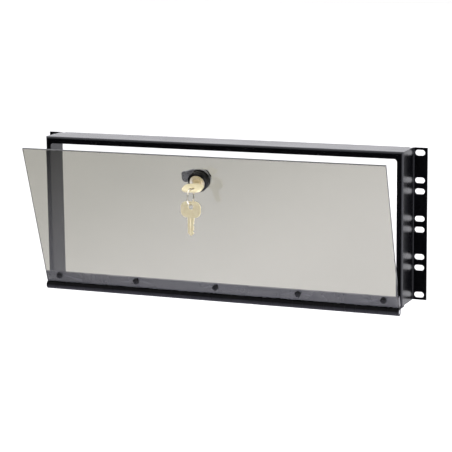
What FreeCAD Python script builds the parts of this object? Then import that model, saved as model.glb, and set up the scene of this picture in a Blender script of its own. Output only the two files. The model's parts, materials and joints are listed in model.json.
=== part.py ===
import FreeCAD, Part
import math
import os
import types

import Sketcher

Vector = FreeCAD.Vector
Rotation = FreeCAD.Rotation
Placement = FreeCAD.Placement

# Lengths and volumes nearer than this count as equal
SAME_LENGTH = 1e-4
SAME_VOLUME = 1e-6

# Hinged security cover for a 19-inch rack, all lengths in millimetres and angles in degrees.
# X runs to the right, Y into the rack and Z up. The origin is the middle of the rack bolt pattern,
# on the rear face of the ears.

doc = FreeCAD.newDocument("RackSecurityCover")

# Driving dimensions
DRIVING = {
    # folded frame
    "rack_unit": 44.45,
    "unit_count": 4,
    "height_clearance": 0.8,
    "frame_depth": 44.0,
    "sheet": 1.5,
    "bend_inside": 1.5,
    "lip_top": 8.2,
    "lip_side": 7.0,
    "lip_bottom": 5.0,
    "opening_corner": 3.5,
    "bend_relief": 1.0,
    # rack ears
    "ear_span": 482.6,
    "slot_edge": 8.75,
    "slot_inset": 6.35,
    "slot_length": 11.6,
    "slot_width": 6.6,
    "slot_bend_gap": 0.25,
    # piano hinge
    "hinge_side_gap": 1.0,
    "knuckle_count": 35,
    "knuckle_gap": 0.4,
    "hinge_pin": 4.8,
    "pin_clearance": 0.05,
    "leaf_sheet": 2.3,
    "leaf_edge": 4.2,
    "comb_clearance": 0.6,
    "roll_seam": 0.2,
    "leaf_lip_gap": 0.4,
    "rivet_reach": 11.8,
    "rivet_shank": 3.2,
    "rivet_head": 6.4,
    "rivet_head_height": 1.2,
    "rivet_head_round": 0.9,
    "rivet_mandrel": 1.6,
    "rivet_mandrel_depth": 0.5,
    "rivet_tail": 4.8,
    "rivet_tail_height": 1.5,
    "rivet_tail_bevel": 0.9,
    # clear panel and its screws
    "panel_side_gap": 1.0,
    "panel_thickness": 3.0,
    "panel_rise": 1.5,
    "panel_edge_chamfer": 0.3,
    "ajar_angle": 17.5,
    "screw_count": 5,
    "screw_end": 18.0,
    "screw_reach": 13.6,
    "screw_shank": 3.0,
    "screw_head": 7.4,
    "screw_head_height": 2.1,
    "screw_head_round": 1.4,
    "screw_recess_rim": 1.7,
    "screw_recess_width": 0.9,
    "screw_recess_depth": 1.3,
    "screw_tail": 0.8,
    "screw_point": 0.5,
    "nut_across": 5.5,
    "nut_height": 2.4,
    "nut_ease_angle": 30.0,
    "hole_clearance": 0.2,
    # cam lock
    "lock_drop": 29.0,
    "plug": 12.0,
    "plug_proud": 0.6,
    "plug_chamfer": 0.3,
    "plug_clearance": 0.05,
    "plug_wall": 1.0,
    "barrel_wall": 3.5,
    "barrel_flat": 1.5,
    "bezel_overhang": 2.5,
    "bezel_height": 8.0,
    "bezel_chamfer": 1.6,
    "lock_washer_rim": 3.0,
    "lock_washer_height": 1.0,
    "lock_nut_wall": 1.5,
    "lock_nut_height": 3.5,
    "wafer_sheet": 1.1,
    "wafer_height": 5.6,
    "wafer_clearance": 0.1,
    "wafer_throw": 0.8,
    "tang_inset": 1.05,
    "tang_clearance": 0.05,
    "stop_washer_inset": 1.7,
    "stop_washer_height": 1.0,
    "stop_washer_gap": 0.2,
    "stop_hub_inset": 0.7,
    "stop_lug_width": 3.0,
    "stop_clearance": 0.15,
    "lock_turn": 90.0,
    "cam_width": 13.0,
    "cam_sheet": 2.0,
    "cam_joggle": 5.5,
    "cam_tip": 5.5,
    "cam_corner": 3.5,
    "cam_lip_gap": 0.5,
    "cam_tip_gap": 1.0,
    "cam_screw": 5.0,
    "cam_screw_head": 9.0,
    "cam_screw_head_height": 2.6,
    "cam_screw_head_round": 1.2,
    "cam_screw_recess_rim": 2.0,
    "cam_screw_recess_width": 1.2,
    "cam_screw_recess_depth": 1.6,
    "cam_screw_depth": 5.0,
    "cam_washer": 9.6,
    "cam_washer_height": 0.8,
    # keys and their ring
    "key_sheet": 2.0,
    "key_blade": 7.6,
    "key_blade_length": 18.0,
    "key_point": 3.2,
    "key_cut_first": 1.6,
    "key_cut_second": 0.8,
    "key_cut_third": 1.4,
    "key_cut_fourth": 0.6,
    "key_cut_floor": 1.5,
    "key_cut_margin": 0.4,
    "key_neck": 3.0,
    "key_bow_width": 24.0,
    "key_bow_length": 18.5,
    "key_bow_corner": 7.0,
    "key_bow_land": 0.6,
    "key_hole": 6.4,
    "key_web": 3.0,
    "keyway_clearance": 0.1,
    "keyway_end_gap": 0.5,
    "ring_slack": 6.2,
    "ring_wire": 1.6,
    "ring_gap": 0.25,
}

sheet = doc.addObject("Spreadsheet::Sheet", "Sizes")
for row, (alias, number) in enumerate(DRIVING.items(), 1):
    sheet.set(f"A{row}", alias)
    sheet.set(f"B{row}", str(number))
    sheet.setAlias(f"B{row}", alias)
doc.recompute()


# A number together with the sheet formula that gives it
class Size:
    def __init__(self, text, number):
        self.text = text
        self.number = number

    def join(self, sign, other, number):
        return Size(f"({self.text} {sign} {other.text})", number)

    def __add__(self, other):
        other = as_size(other)
        return self.join("+", other, self.number + other.number)

    def __sub__(self, other):
        other = as_size(other)
        return self.join("-", other, self.number - other.number)

    def __mul__(self, other):
        other = as_size(other)
        return self.join("*", other, self.number * other.number)

    def __truediv__(self, other):
        other = as_size(other)
        return self.join("/", other, self.number / other.number)

    def __neg__(self):
        return Size(f"(-1 * {self.text})", -self.number)

    def root(self):
        return Size(f"sqrt({self.text})", math.sqrt(self.number))

    # rise over run of an angle in degrees
    def slope(self):
        return Size(f"tan({self.text} * 1 deg)", math.tan(math.radians(self.number)))

    def at_most(self, *limits):
        sizes = [self, *limits]
        return Size("min(" + "; ".join(size.text for size in sizes) + ")", min(size.number for size in sizes))


def as_size(item):
    if isinstance(item, Size):
        return item
    return Size(repr(float(item)), float(item))


s = types.SimpleNamespace(**{alias: Size(f"Sizes.{alias}", float(sheet.get(alias))) for alias in DRIVING})
unit_count = round(s.unit_count.number)
knuckle_count = 2 * round((s.knuckle_count.number - 1) / 2) + 1
screw_count = round(s.screw_count.number)

# Sizes that follow from the driving ones
half_height = (s.rack_unit * unit_count - s.height_clearance) / 2
slot_middle = s.ear_span / 2 - s.slot_edge
half_width = slot_middle - s.slot_length / 2 - s.slot_bend_gap - s.bend_inside
bend_outside = s.bend_inside + s.sheet
knuckle_bore = s.hinge_pin / 2 + s.pin_clearance
knuckle_radius = knuckle_bore + s.leaf_sheet
hinge_length = (half_width - s.hinge_side_gap) * 2
knuckle_pitch = hinge_length / knuckle_count
leaf_reach = s.screw_reach + s.leaf_edge
axis_y = -(s.frame_depth + s.leaf_lip_gap + knuckle_radius)
axis_z = -(half_height + knuckle_radius)
panel_side = half_width - s.panel_side_gap
screw_pitch = (panel_side - s.screw_end) * 2 / (screw_count - 1)
panel_back = knuckle_bore
panel_front = knuckle_bore - s.panel_thickness
panel_low = knuckle_radius + s.comb_clearance
panel_top = half_height + s.panel_rise - axis_z
lock_height = panel_top - s.lock_drop
screw_hole = s.screw_shank + s.hole_clearance * 2
rivet_hole = s.rivet_shank + s.hole_clearance
barrel = s.plug + s.barrel_wall * 2
barrel_across = barrel - s.barrel_flat * 2
plug_bore = s.plug / 2 + s.plug_clearance
tang_across = (s.plug - s.tang_inset * 2) / math.sqrt(2)
ring_radius = s.key_web + s.ring_slack

# The cover's pieces are drawn shut about the hinge axis, then stand ajar by one turn about it.
hinge_place = Placement(Vector(0, axis_y.number, axis_z.number), Rotation())
cover_place = hinge_place * Placement(Vector(), Rotation(Vector(1, 0, 0), s.ajar_angle.number))
# The lock's pieces are drawn about the lock axis, with y = 0 on the front face of the panel.
lock_place = cover_place * Placement(Vector(0, panel_front.number, lock_height.number), Rotation())


def bind(thing, prop, size):
    thing.setExpression(prop, as_size(size).text)


def new_body(name, place=Placement()):
    body = doc.addObject("PartDesign::Body", name)
    body.Label = name
    body.Placement = place
    return body


def new_sketch(body, name, role, offset=None):
    sketch = body.newObject("Sketcher::SketchObject", name)
    plane = next(item for item in body.Origin.OriginFeatures if item.Role == role)
    sketch.AttachmentSupport = [(plane, "")]
    sketch.MapMode = "FlatFace"
    if offset is not None:
        bind(sketch, "AttachmentOffset.Base.z", offset)
    return sketch


def constrain(sketch, size, kind, *where):
    size = as_size(size)
    index = sketch.addConstraint(Sketcher.Constraint(kind, *where, size.number))
    sketch.setExpression(f"Constraints[{index}]", size.text)


# Holds one point of a curve at a place given by two sizes
def hold(sketch, curve, point, x, y):
    constrain(sketch, x, "DistanceX", -1, 1, curve, point)
    constrain(sketch, y, "DistanceY", -1, 1, curve, point)


# Closed outline of straight runs through the given corners
def outline(sketch, corners):
    corners = [(as_size(x), as_size(y)) for x, y in corners]
    first = sketch.GeometryCount
    count = len(corners)
    for (x0, y0), (x1, y1) in zip(corners, corners[1:] + corners[:1]):
        start = Vector(x0.number, y0.number, 0)
        end = Vector(x1.number, y1.number, 0)
        sketch.addGeometry(Part.LineSegment(start, end), False)
    for index, (x, y) in enumerate(corners):
        before = first + (index - 1) % count
        sketch.addConstraint(Sketcher.Constraint("Coincident", before, 2, first + index, 1))
        hold(sketch, first + index, 1, x, y)


def rectangle(sketch, left, low, right, high):
    outline(sketch, [(left, low), (right, low), (right, high), (left, high)])


def circle(sketch, x, y, diameter):
    x, y, diameter = as_size(x), as_size(y), as_size(diameter)
    ring = Part.Circle(Vector(x.number, y.number, 0), Vector(0, 0, 1), diameter.number / 2)
    index = sketch.addGeometry(ring, False)
    hold(sketch, index, 3, x, y)
    constrain(sketch, diameter, "Diameter", index)


# Round ends joined by two straight sides that run along the sketch's x axis
def slot(sketch, x, y, length, width):
    x, y = as_size(x), as_size(y)
    reach = (length - width) / 2
    radius = width.number / 2
    left = Vector((x - reach).number, y.number, 0)
    right = Vector((x + reach).number, y.number, 0)
    rise = Vector(0, radius, 0)
    up = Vector(0, 0, 1)
    first = sketch.GeometryCount
    sketch.addGeometry(Part.ArcOfCircle(Part.Circle(left, up, radius), math.pi / 2, 1.5 * math.pi), False)
    sketch.addGeometry(Part.LineSegment(left - rise, right - rise), False)
    sketch.addGeometry(Part.ArcOfCircle(Part.Circle(right, up, radius), -math.pi / 2, math.pi / 2), False)
    sketch.addGeometry(Part.LineSegment(right + rise, left + rise), False)
    for here, there in ((0, 1), (1, 2), (2, 3), (3, 0)):
        sketch.addConstraint(Sketcher.Constraint("Tangent", first + here, 2, first + there, 1))
    hold(sketch, first, 3, x - reach, y)
    hold(sketch, first + 2, 3, x + reach, y)
    constrain(sketch, width / 2, "Radius", first)


# Round hole with a flat above and a flat below its centre
def flatted_circle(sketch, diameter, across, height=0.0):
    radius = diameter.number / 2
    flat = math.asin(across.number / diameter.number)
    middle = Vector(0, as_size(height).number, 0)
    ring = Part.Circle(middle, Vector(0, 0, 1), radius)
    first = sketch.GeometryCount
    sketch.addGeometry(Part.ArcOfCircle(ring, -flat, flat), False)
    sketch.addGeometry(Part.ArcOfCircle(ring, math.pi - flat, math.pi + flat), False)
    right, left = sketch.Geometry[first], sketch.Geometry[first + 1]
    sketch.addGeometry(Part.LineSegment(right.EndPoint, left.StartPoint), False)
    sketch.addGeometry(Part.LineSegment(left.EndPoint, right.StartPoint), False)
    for here, there in ((0, 2), (2, 1), (1, 3), (3, 0)):
        sketch.addConstraint(Sketcher.Constraint("Coincident", first + here, 2, first + there, 1))
    sketch.addConstraint(Sketcher.Constraint("Coincident", first, 3, first + 1, 3))
    sketch.addConstraint(Sketcher.Constraint("Equal", first, first + 1))
    sketch.addConstraint(Sketcher.Constraint("Horizontal", first + 2))
    sketch.addConstraint(Sketcher.Constraint("Horizontal", first + 3))
    hold(sketch, first, 3, 0.0, height)
    constrain(sketch, diameter / 2, "Radius", first)
    constrain(sketch, across, "DistanceY", first, 1, first, 2)


def extrude(kind, body, name, sketch, length, backwards=False):
    before = body.Shape.Volume if body.Tip else 0.0
    feature = body.newObject(kind, name)
    feature.Profile = sketch
    feature.Reversed = backwards
    bind(feature, "Length", length)
    doc.recompute()
    if abs(feature.Shape.Volume - before) < SAME_VOLUME:
        raise RuntimeError(f"{body.Label}: {name} changes nothing")
    return feature


def pad(body, name, sketch, length, backwards=False):
    return extrude("PartDesign::Pad", body, name, sketch, length, backwards)


def pocket(body, name, sketch, length, backwards=False):
    return extrude("PartDesign::Pocket", body, name, sketch, length, backwards)


def repeat(body, name, feature, direction, pitch, count):
    pattern = body.newObject("PartDesign::LinearPattern", name)
    pattern.Originals = [feature]
    axis = next(item for item in body.Origin.OriginFeatures if item.Role == direction)
    pattern.Direction = (axis, [""])
    pattern.Mode = "Spacing"
    bind(pattern, "Offset", pitch)
    pattern.Occurrences = count
    body.Tip = pattern
    doc.recompute()
    return pattern


# Turns a half section, drawn beside the sketch's y axis, about that axis
def revolve(body, name, sketch, kind="PartDesign::Revolution"):
    feature = body.newObject(kind, name)
    feature.Profile = sketch
    feature.ReferenceAxis = (sketch, ["V_Axis"])
    feature.Angle = 360.0
    doc.recompute()
    return feature


def edges_where(shape, test):
    return [f"Edge{index}" for index, edge in enumerate(shape.Edges, 1) if test(edge)]


def dress(kind, body, name, base, edges, prop, size):
    if not edges:
        raise RuntimeError(f"{body.Label}: {name} has no edges")
    feature = body.newObject(kind, name)
    feature.Base = (base, edges)
    bind(feature, prop, size)
    doc.recompute()
    return feature


def fillet(body, name, base, edges, size):
    return dress("PartDesign::Fillet", body, name, base, edges, "Radius", size)


def chamfer(body, name, base, edges, size):
    return dress("PartDesign::Chamfer", body, name, base, edges, "Size", size)


def near(a, b):
    return abs(a - b) < SAME_LENGTH


def lies_at(edge, **place):
    box = edge.BoundBox
    limits = {"x": (box.XMin, box.XMax), "y": (box.YMin, box.YMax), "z": (box.ZMin, box.ZMax)}
    return all(near(end, at.number) for axis, at in place.items() for end in limits[axis])


def runs_along(edge, axis):
    box = edge.BoundBox
    spans = {"x": box.XLength, "y": box.YLength, "z": box.ZLength}
    return all(span < SAME_LENGTH for name, span in spans.items() if name != axis)


# Two sizes, the smaller first
def in_order(a, b):
    return sorted((a, b), key=lambda size: size.number)


# Places of the panel screws, and of the rivets below them, along the hinge
def screw_places():
    middle = (screw_count - 1) / 2
    return [screw_pitch * (index - middle) for index in range(screw_count)]


# One folded sheet: lip ring, four walls and two ears
def make_frame():
    body = new_body("frame")
    sketch = new_sketch(body, "frame_outline", "XZ_Plane")
    rectangle(sketch, -half_width, -half_height, half_width, half_height)
    block = pad(body, "frame_block", sketch, s.frame_depth)
    front = -s.frame_depth
    bends = edges_where(block.Shape, lambda edge: lies_at(edge, y=front))
    block = fillet(body, "front_bends", block, bends, bend_outside)

    sketch = new_sketch(body, "hollow_outline", "XZ_Plane")
    inner_width = half_width - s.sheet
    inner_height = half_height - s.sheet
    rectangle(sketch, -inner_width, -inner_height, inner_width, inner_height)
    hollow = pocket(body, "hollow", sketch, s.frame_depth - s.sheet, True)
    lip_back = front + s.sheet
    folds = edges_where(hollow.Shape, lambda edge: lies_at(edge, y=lip_back))
    hollow = fillet(body, "inside_bends", hollow, folds, s.bend_inside)

    sketch = new_sketch(body, "opening_outline", "XZ_Plane")
    side = half_width - s.lip_side
    low = s.lip_bottom - half_height
    high = half_height - s.lip_top
    rectangle(sketch, -side, low, side, high)
    opening = pocket(body, "opening", sketch, s.frame_depth + s.sheet, True)

    def is_opening_corner(edge):
        middle = edge.CenterOfMass
        level = near(middle.z, low.number) or near(middle.z, high.number)
        return runs_along(edge, "y") and level and near(abs(middle.x), side.number)

    corners = edges_where(opening.Shape, is_opening_corner)
    fillet(body, "opening_corners", opening, corners, s.opening_corner)

    sketch = new_sketch(body, "ear_outline", "XZ_Plane")
    for hand in (-1, 1):
        left, right = in_order(half_width * hand, s.ear_span / 2 * hand)
        rectangle(sketch, left, -half_height, right, half_height)
    pad(body, "ears", sketch, s.sheet)

    # Notches that free the side walls' rear bends from the top and bottom walls
    sketch = new_sketch(body, "relief_outline", "XZ_Plane")
    notch_end = inner_width - bend_outside - s.bend_relief
    for hand in (-1, 1):
        for up in (-1, 1):
            left, right = in_order(notch_end * hand, inner_width * hand)
            foot, head = in_order(half_height * up, inner_height * up)
            rectangle(sketch, left, foot, right, head)
    relief = pocket(body, "bend_reliefs", sketch, bend_outside + s.bend_relief, True)

    def is_rear_bend(edge):
        middle = edge.CenterOfMass
        return runs_along(edge, "z") and near(abs(middle.x), inner_width.number) and near(middle.y, 0.0)

    def is_ear_corner(edge):
        middle = edge.CenterOfMass
        inside = near(abs(middle.x), half_width.number) and near(middle.y, -s.sheet.number)
        return runs_along(edge, "z") and inside

    rear = fillet(body, "rear_bends", relief, edges_where(relief.Shape, is_rear_bend), bend_outside)
    fillet(body, "ear_bends", rear, edges_where(rear.Shape, is_ear_corner), s.bend_inside)

    # Two oblong slots to each rack unit, on both ears
    sketch = new_sketch(body, "slot_outline", "XZ_Plane")
    for hand in (-1, 1):
        for unit in range(unit_count):
            floor = s.rack_unit * (unit - unit_count / 2)
            for height in (floor + s.slot_inset, floor + s.rack_unit - s.slot_inset):
                slot(sketch, slot_middle * hand, height, s.slot_length, s.slot_width)
    pocket(body, "ear_slots", sketch, s.sheet, True)

    sketch = new_sketch(body, "rivet_hole_outline", "XY_Plane", -half_height)
    for x in screw_places():
        circle(sketch, x, axis_y + s.rivet_reach, rivet_hole)
    pocket(body, "rivet_holes", sketch, s.sheet, True)
    return body


# A hinge leaf whose edge is rolled round the pin, drawn with the pin at the origin and the leaf
# running along +Y, its outer face tangent to the top of the roll. The comb that lets the other
# leaf's knuckles in starts at the first or the second knuckle.
def make_leaf(name, place, hole_reach, hole, first_gap):
    body = new_body(name, place)
    half_length = hinge_length / 2
    sketch = new_sketch(body, name + "_section", "YZ_Plane", -half_length)
    outer = knuckle_radius.number
    inner = knuckle_bore.number
    reach = leaf_reach.number
    seam_height = knuckle_bore - s.roll_seam
    seam = math.asin(seam_height.number / outer)
    turn = 2 * math.pi
    up = Vector(0, 0, 1)
    seam_way = Vector(math.cos(seam), math.sin(seam), 0)
    sketch.addGeometry(Part.ArcOfCircle(Part.Circle(Vector(), up, outer), math.pi / 2, turn + seam), False)
    sketch.addGeometry(Part.ArcOfCircle(Part.Circle(Vector(), up, inner), math.pi / 2, turn + seam), False)
    sketch.addGeometry(Part.LineSegment(seam_way * outer, seam_way * inner), False)
    sketch.addGeometry(Part.LineSegment(Vector(0, inner, 0), Vector(reach, inner, 0)), False)
    sketch.addGeometry(Part.LineSegment(Vector(reach, inner, 0), Vector(reach, outer, 0)), False)
    sketch.addGeometry(Part.LineSegment(Vector(reach, outer, 0), Vector(0, outer, 0)), False)
    joins = ((0, 2, 2, 1), (2, 2, 1, 2), (1, 1, 3, 1), (3, 2, 4, 1), (4, 2, 5, 1), (5, 2, 0, 1))
    for join in joins:
        sketch.addConstraint(Sketcher.Constraint("Coincident", *join))
    for arc, radius in ((0, knuckle_radius), (1, knuckle_bore)):
        sketch.addConstraint(Sketcher.Constraint("Coincident", arc, 3, -1, 1))
        constrain(sketch, radius, "Radius", arc)
        sketch.addConstraint(Sketcher.Constraint("PointOnObject", arc, 1, -2))
    sketch.addConstraint(Sketcher.Constraint("PointOnObject", -1, 1, 2))
    constrain(sketch, seam_height, "DistanceY", -1, 1, 0, 2)
    sketch.addConstraint(Sketcher.Constraint("Horizontal", 3))
    sketch.addConstraint(Sketcher.Constraint("Vertical", 4))
    sketch.addConstraint(Sketcher.Constraint("Horizontal", 5))
    constrain(sketch, leaf_reach, "DistanceX", -1, 1, 4, 1)
    pad(body, name + "_strip", sketch, hinge_length)

    sketch = new_sketch(body, name + "_gap", "XY_Plane", -(knuckle_radius + s.comb_clearance))
    gap_start = knuckle_pitch * first_gap - half_length - s.knuckle_gap / 2
    gap_end = gap_start + knuckle_pitch + s.knuckle_gap
    gap_depth = knuckle_radius + s.comb_clearance
    rectangle(sketch, gap_start, -gap_depth, gap_end, gap_depth)
    gap = pocket(body, name + "_comb", sketch, gap_depth * 2, True)
    repeat(body, name + "_combs", gap, "X_Axis", knuckle_pitch * 2, (knuckle_count + 1) // 2 - first_gap)

    sketch = new_sketch(body, name + "_hole_outline", "XY_Plane", knuckle_bore)
    for x in screw_places():
        circle(sketch, x, hole_reach, hole)
    pocket(body, name + "_holes", sketch, s.leaf_sheet, True)
    return body


def make_hinge_pin():
    pin = doc.addObject("Part::Cylinder", "hinge_pin")
    pin.Label = "hinge_pin"
    bind(pin, "Radius", s.hinge_pin / 2)
    bind(pin, "Height", hinge_length)
    end = Vector(-hinge_length.number / 2, 0, 0)
    pin.Placement = hinge_place * Placement(end, Rotation(Vector(0, 1, 0), 90))
    return pin


# A part turned about its own y axis, given by its half section of (radius, y) corners
def make_turned(name, corners, place=Placement()):
    body = new_body(name, place)
    sketch = new_sketch(body, name + "_section", "XY_Plane")
    outline(sketch, corners)
    revolve(body, name + "_turning", sketch)
    return body


# Rounds or bevels the rims of a turned part that lie at one level along its axis
def round_rim(body, level, radius):
    rims = edges_where(body.Tip.Shape, lambda edge: lies_at(edge, y=level))
    fillet(body, body.Label + "_round", body.Tip, rims, radius)


def bevel_rim(body, level, size):
    rims = edges_where(body.Tip.Shape, lambda edge: lies_at(edge, y=level))
    chamfer(body, body.Label + "_bevel", body.Tip, rims, size)


# Crossed slots for the driver, sunk into the end of a turned part
def cross_recess(body, level, arm, width, depth, backwards=False):
    half = width / 2
    quarter = [(arm, -half), (arm, half), (half, half)]
    corners = []
    for turn in range(4):
        corners += quarter
        quarter = [(-y, x) for x, y in quarter]
    sketch = new_sketch(body, body.Label + "_recess_outline", "XZ_Plane", -level)
    outline(sketch, corners)
    pocket(body, body.Label + "_recess", sketch, depth, backwards)


# A hexagon nut that stands along y from a start, with two flats level and its outer corners eased
def make_nut(name, across, hole, start, height, place=Placement()):
    body = new_body(name, place)
    sketch = new_sketch(body, name + "_outline", "XZ_Plane", -start)
    corner = across / math.sqrt(3)
    half = across / 2
    upper = [(corner, as_size(0.0)), (corner / 2, half), (-corner / 2, half)]
    outline(sketch, upper + [(-x, -y) for x, y in upper])
    circle(sketch, 0.0, 0.0, hole)
    pad(body, name + "_prism", sketch, height, True)
    end = start + height
    ease = (corner - half) * s.nut_ease_angle.slope()
    sketch = new_sketch(body, name + "_ease_outline", "XY_Plane")
    outline(sketch, [(half, end), (corner, end), (corner, end - ease)])
    revolve(body, name + "_ease", sketch, "PartDesign::Groove")
    return body


# Separate copies of one piece at each screw place, as one sub-part
def make_row(name, one, height, place):
    row = doc.addObject("Part::Feature", name)
    row.Label = name
    spots = [Vector(x.number, 0, height.number) for x in screw_places()]
    row.Shape = Part.makeCompound([one.Shape.translated(spot) for spot in spots])
    row.Placement = place
    return row


# Blind rivets that hold the fixed leaf under the frame's bottom wall, heads below
def make_rivets():
    under = knuckle_bore
    top = knuckle_radius + s.sheet
    shank = s.rivet_shank / 2
    head = s.rivet_head / 2
    tail = s.rivet_tail / 2
    crown = under - s.rivet_head_height
    tail_top = top + s.rivet_tail_height
    corners = [
        (0.0, crown), (head, crown), (head, under), (shank, under),
        (shank, top), (tail, top), (tail, tail_top), (0.0, tail_top),
    ]
    one = make_turned("one_rivet", corners)
    round_rim(one, crown, s.rivet_head_round)
    bevel_rim(one, tail_top, s.rivet_tail_bevel)
    sketch = new_sketch(one, "mandrel_outline", "XZ_Plane", -crown)
    circle(sketch, 0.0, 0.0, s.rivet_mandrel)
    pocket(one, "mandrel_hole", sketch, s.rivet_mandrel_depth)
    upright = hinge_place * Placement(Vector(0, s.rivet_reach.number, 0), Rotation(Vector(1, 0, 0), 90))
    return make_row("hinge_rivets", one, as_size(0.0), upright)


def make_panel():
    body = new_body("panel", cover_place)
    sketch = new_sketch(body, "panel_outline", "XZ_Plane", -panel_back)
    rectangle(sketch, -panel_side, panel_low, panel_side, panel_top)
    plate = pad(body, "panel_plate", sketch, s.panel_thickness)
    rim = edges_where(plate.Shape, lambda edge: not runs_along(edge, "y"))
    chamfer(body, "panel_edge", plate, rim, s.panel_edge_chamfer)
    sketch = new_sketch(body, "panel_hole_outline", "XZ_Plane", -panel_back)
    for x in screw_places():
        circle(sketch, x, s.screw_reach, screw_hole)
    clear = s.hole_clearance * 2
    flatted_circle(sketch, barrel + clear, barrel_across + clear, lock_height)
    pocket(body, "panel_holes", sketch, s.panel_thickness, True)
    return body


# Pan-head screws through panel and moving leaf, and the nuts behind the leaf
def make_screws():
    nut_end = knuckle_radius + s.nut_height
    end = nut_end + s.screw_tail
    shank = s.screw_shank / 2
    head = s.screw_head / 2
    crown = panel_front - s.screw_head_height
    corners = [
        (0.0, crown), (head, crown), (head, panel_front), (shank, panel_front), (shank, end), (0.0, end),
    ]
    screw = make_turned("one_screw", corners)
    round_rim(screw, crown, s.screw_head_round)
    bevel_rim(screw, end, s.screw_point)
    cross_recess(screw, crown, head - s.screw_recess_rim, s.screw_recess_width, s.screw_recess_depth)
    nut = make_nut("one_nut", s.nut_across, s.screw_shank, knuckle_radius, s.nut_height)
    return [
        make_row("panel_screws", screw, s.screw_reach, cover_place),
        make_row("panel_nuts", nut, s.screw_reach, cover_place),
    ]


# Cuts in the key's edge, from its point to its shoulder: middle of each along the key, and its depth
cut_depths = (s.key_cut_first, s.key_cut_second, s.key_cut_third, s.key_cut_fourth)
cut_pitch = (s.key_blade_length - s.key_point - s.key_cut_margin) / len(cut_depths)
first_cut = s.key_point - s.key_blade_length + cut_pitch / 2
key_cuts = [(first_cut + cut_pitch * index, depth) for index, depth in enumerate(cut_depths)]

# Faces of the stack behind the plug's front, measured from the panel's front face
plug_front = -(s.bezel_height + s.plug_proud)
keyway_depth = s.key_blade_length + s.keyway_end_gap
cam_end = plug_front + keyway_depth + s.plug_wall + s.cam_screw_depth
cam_start = cam_end - s.cam_sheet
stop_start = cam_start - s.stop_washer_height
barrel_length = stop_start - s.stop_washer_gap
tip_start = s.panel_thickness + s.leaf_sheet + s.leaf_lip_gap + s.sheet + s.cam_lip_gap
cam_reach = s.lock_drop - s.panel_rise - s.sheet - s.cam_tip_gap


# Head, threaded barrel with two flats, and the bore that the plug turns in
def make_lock_body():
    radius = barrel / 2
    bezel = radius + s.bezel_overhang
    front = -s.bezel_height
    corners = [
        (plug_bore, front), (bezel - s.bezel_chamfer, front), (bezel, front + s.bezel_chamfer), (bezel, 0.0),
        (radius, 0.0), (radius, barrel_length), (plug_bore, barrel_length),
    ]
    body = make_turned("lock_body", corners, lock_place)
    sketch = new_sketch(body, "barrel_flat_outline", "XZ_Plane")
    for up in (-1, 1):
        foot, head = in_order(barrel_across / 2 * up, radius * up)
        rectangle(sketch, -radius, foot, radius, head)
    pocket(body, "barrel_flats", sketch, barrel_length, False)
    # Grooves at both sides of the bore that the wafers spring into when the key is out
    sketch = new_sketch(body, "wafer_groove_outline", "XZ_Plane", -barrel_length)
    across = plug_bore + s.wafer_throw
    rise = s.wafer_height / 2 + s.wafer_clearance
    rectangle(sketch, -across, -rise, across, rise)
    front_wafer = plug_front - key_cuts[-1][0] - s.wafer_sheet / 2 - s.wafer_clearance
    pocket(body, "wafer_grooves", sketch, barrel_length - front_wafer, True)
    # Lug on the barrel's end that stops the washer on the plug
    sketch = new_sketch(body, "stop_lug_outline", "XZ_Plane", -barrel_length)
    half = s.stop_lug_width / 2
    rectangle(sketch, plug_bore + s.stop_clearance, -half, radius - s.stop_clearance, half)
    pad(body, "stop_lug", sketch, s.stop_washer_gap + s.stop_washer_height, True)
    return body


def make_lock_washer():
    inner = barrel / 2 + s.hole_clearance
    outer = barrel / 2 + s.lock_washer_rim
    start = s.panel_thickness
    end = start + s.lock_washer_height
    corners = [(inner, start), (outer, start), (outer, end), (inner, end)]
    return make_turned("lock_washer", corners, lock_place)


def make_lock_nut():
    start = s.panel_thickness + s.lock_washer_height
    across = barrel + s.lock_nut_wall * 2
    return make_nut("lock_nut", across, barrel, start, s.lock_nut_height, lock_place)


# The turning plug with its keyway, its wafer slots, its square tang and the tapped hole in its end
def make_lock_plug():
    radius = s.plug / 2
    corners = [(0.0, plug_front), (radius, plug_front), (radius, stop_start), (0.0, stop_start)]
    body = make_turned("lock_plug", corners, lock_place)
    bevel_rim(body, plug_front, s.plug_chamfer)
    sketch = new_sketch(body, "tang_outline", "XZ_Plane", -stop_start)
    half = tang_across / 2
    rectangle(sketch, -half, -half, half, half)
    pad(body, "tang", sketch, s.stop_washer_height + s.cam_sheet - s.tang_clearance, True)
    sketch = new_sketch(body, "tapped_outline", "XZ_Plane", -cam_end)
    circle(sketch, 0.0, 0.0, s.cam_screw)
    pocket(body, "tapped_hole", sketch, s.cam_screw_depth, True)
    sketch = new_sketch(body, "keyway_outline", "XZ_Plane", -plug_front)
    across = s.key_blade / 2 + s.keyway_clearance
    rise = s.key_sheet / 2 + s.keyway_clearance
    rectangle(sketch, -across, -rise, across, rise)
    pocket(body, "keyway", sketch, keyway_depth, False)
    sketch = new_sketch(body, "wafer_slot_outline", "YZ_Plane", -radius)
    width = s.wafer_sheet / 2 + s.wafer_clearance
    rise = s.wafer_height / 2 + s.wafer_clearance
    for middle, depth in key_cuts:
        place = plug_front - middle
        rectangle(sketch, place - width, -rise, place + width, rise)
    pocket(body, "wafer_slots", sketch, s.plug, True)
    return body


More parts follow.
